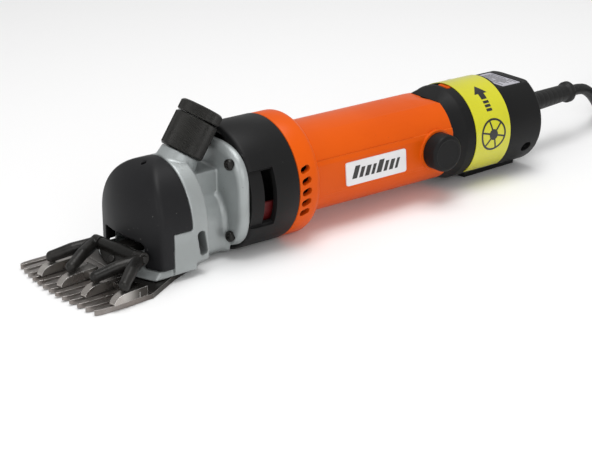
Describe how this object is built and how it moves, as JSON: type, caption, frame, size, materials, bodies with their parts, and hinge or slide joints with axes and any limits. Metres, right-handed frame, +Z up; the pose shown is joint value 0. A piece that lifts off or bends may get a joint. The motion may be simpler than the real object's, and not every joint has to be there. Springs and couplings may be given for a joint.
{
  "type": "electric sheep shears",
  "caption": "Hand-held electric sheep shears: a wide comb under a swinging cutter, a tension nut on the cutting head, a round motor grip and a mains cord from the tail.",
  "frame": {"origin": "middle of the comb's underside, between its two screws, on the surface it lies on", "axes": "+X towards the comb's teeth, +Y to the tool's left seen from behind the grip, +Z up"},
  "size_m": [0.534, 0.1277, 0.0872],
  "materials": {
    "housing_orange": "satin",
    "black_plastic": "fine satin grain",
    "silver_paint": "speckled casting paint",
    "comb_steel": "ground",
    "cutter_steel": "ground",
    "black_oxide": "black oxide",
    "bright_steel": "polished",
    "gear_steel": "machined",
    "brass": "machined",
    "copper": "enamelled copper winding",
    "carbon": "pressed carbon",
    "core_steel": "lacquered laminations",
    "red_fibre": "vulcanised fibre",
    "label_yellow": "gloss film",
    "badge_white": "gloss film",
    "plate_foil": "satin foil",
    "rubber": "smooth"
  },
  "bodies": {
    "shears": {"air_deflector": "red_fibre", "brush_cap_left": "black_plastic", "brush_cap_right": "black_plastic", "brush_holder_left": "brass", "brush_holder_right": "brass", "carbon_brush_left": "carbon", "carbon_brush_right": "carbon", "centre_post": "bright_steel", "coil_tie": "rubber", "comb": "comb_steel", "comb_screw_left": "black_oxide", "comb_screw_right": "black_oxide", "cord_coil": "rubber", "cord_guard": "rubber", "crank_bearing_front": "bright_steel", "crank_bearing_rear": "bright_steel", "field_coil_front": "copper", "field_coil_rear": "copper", "flange_screw_lower_left": "black_oxide", "flange_screw_lower_right": "black_oxide", "flange_screw_upper_left": "black_oxide", "flange_screw_upper_right": "black_oxide", "gear_case": "black_plastic", "head_hood": "black_plastic", "head_housing": "silver_paint", "motor_bearing_front": "bright_steel", "motor_bearing_rear": "bright_steel", "motor_housing": "housing_orange", "plug_body": "black_plastic", "plug_lead": "rubber", "plug_pin_left": "brass", "plug_pin_right": "brass", "power_cord": "rubber", "rating_plate": "plate_foil", "side_badge": "badge_white", "stator_core": "core_steel", "switch_body": "black_plastic", "tail_cover": "black_plastic", "tail_screw_left": "bright_steel", "tail_screw_right": "bright_steel", "wrap_label": "label_yellow"},
    "armature": {"armature_shaft": "gear_steel", "armature_core": "core_steel", "armature_winding_front": "copper", "armature_winding_rear": "copper", "commutator": "copper", "cooling_fan": "black_plastic"},
    "crank": {"crankshaft": "gear_steel", "driven_gear": "gear_steel", "crank_roller": "bright_steel"},
    "fork": {"fork": "black_oxide", "cutter": "cutter_steel", "crosshead_rivet": "bright_steel"},
    "left_yoke": {"left_yoke": "black_oxide"},
    "right_yoke": {"right_yoke": "black_oxide"},
    "tension_pin": {"tension_pin": "bright_steel"},
    "tension_nut": {"tension_nut": "black_oxide", "nut_lock_ring": "black_oxide"},
    "switch_knob": {"switch_knob": "housing_orange"}
  },
  "joints": [
    {"name": "armature_spin", "type": "hinge", "parent": "shears", "child": "armature", "pos_m": [-0.11859, 0, 0.03114], "axis": [0.9998, 0, 0.0192], "continuous": true},
    {"name": "crank_spin", "type": "hinge", "parent": "shears", "child": "crank", "pos_m": [-0.03835, 0, 0.01938], "axis": [0.9998, 0, 0.0192], "continuous": true},
    {"name": "fork_swing", "type": "hinge", "parent": "shears", "child": "fork", "pos_m": [-0.0086, 0, 0.0156], "axis": [0, 0, 1], "range_deg": [-19, 0]},
    {"name": "left_yoke_lift", "type": "hinge", "parent": "fork", "child": "left_yoke", "pos_m": [0.02417, 0.02231, 0.0156], "axis": [0.165, -0.9863, 0], "range_deg": [0, 8]},
    {"name": "right_yoke_lift", "type": "hinge", "parent": "fork", "child": "right_yoke", "pos_m": [0.02965, -0.01043, 0.0156], "axis": [0.165, -0.9863, 0], "range_deg": [0, 8]},
    {"name": "tension_travel", "type": "slide", "parent": "shears", "child": "tension_pin", "axis": [-0.575, 0, 0.8181], "range_m": [0, 0.0025]},
    {"name": "nut_turn", "type": "hinge", "parent": "tension_pin", "child": "tension_nut", "pos_m": [-0.01687, 0, 0.0571], "axis": [-0.575, 0, 0.8181], "range_deg": [0, 720]},
    {"name": "switch_slide", "type": "slide", "parent": "shears", "child": "switch_knob", "axis": [-0.9998, 0, -0.0192], "range_m": [0, 0.004]}
  ],
  "couplings": [
    {"joint": "crank_spin", "follows": "armature_spin", "ratio": -0.26667},
    {"joint": "nut_turn", "follows": "tension_travel", "rad_per_m": 5026.5}
  ]
}
